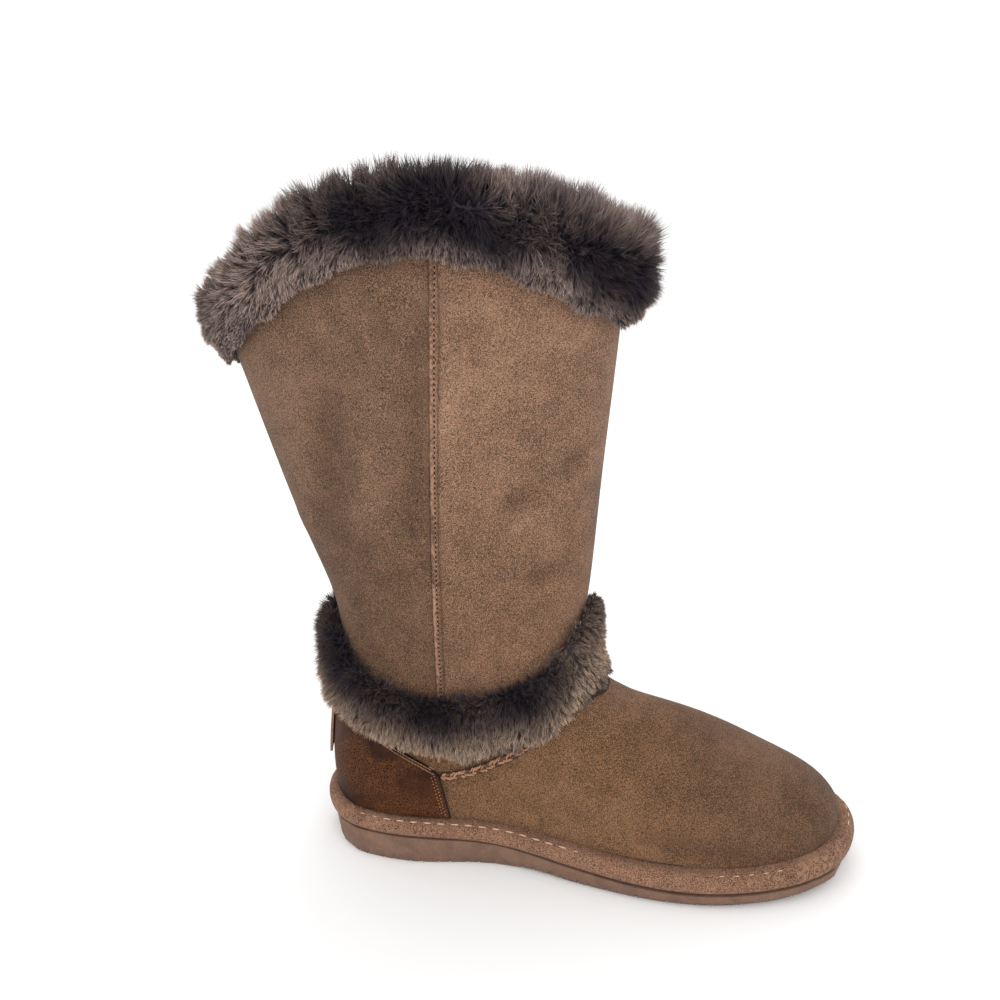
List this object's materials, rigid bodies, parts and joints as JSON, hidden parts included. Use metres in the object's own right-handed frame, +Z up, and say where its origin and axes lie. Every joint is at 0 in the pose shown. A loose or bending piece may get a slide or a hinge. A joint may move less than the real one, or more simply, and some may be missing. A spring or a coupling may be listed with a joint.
{
  "type": "winter boot",
  "caption": "Tall pull-on winter boot, right foot: hollow suede shaft and foot on a low wedge platform sole, with a fur cuff, a fur ankle band and a leather heel counter.",
  "frame": {"origin": "on the floor, at the flat spot under the middle of the heel, on the sole's long axis", "axes": "+X towards the toe along the sole, +Y towards the inner side of the foot, +Z up the shaft"},
  "size_m": [0.3324, 0.1162, 0.3453],
  "materials": {
    "rubber": "matt brown rubber",
    "wrapped_suede": "brown suede wrap",
    "lining": "short brown pile",
    "suede": "brown suede, fine nap",
    "counter_leather": "dark reddish brown leather, satin",
    "patch_leather": "tan leather, matt",
    "braid": "copper brown flat braid",
    "fur": "dense dark brown pile with grey brown tips"
  },
  "bodies": {
    "root": {"outsole": "rubber", "platform_band": "wrapped_suede", "insole": "lining", "upper": "suede", "heel_counter": "counter_leather", "heel_patch": "patch_leather", "seam_strip_outer": "suede", "seam_strip_inner": "suede", "braid": "braid", "ankle_fur": "fur", "collar_fur": "fur"}
  },
  "joints": []
}
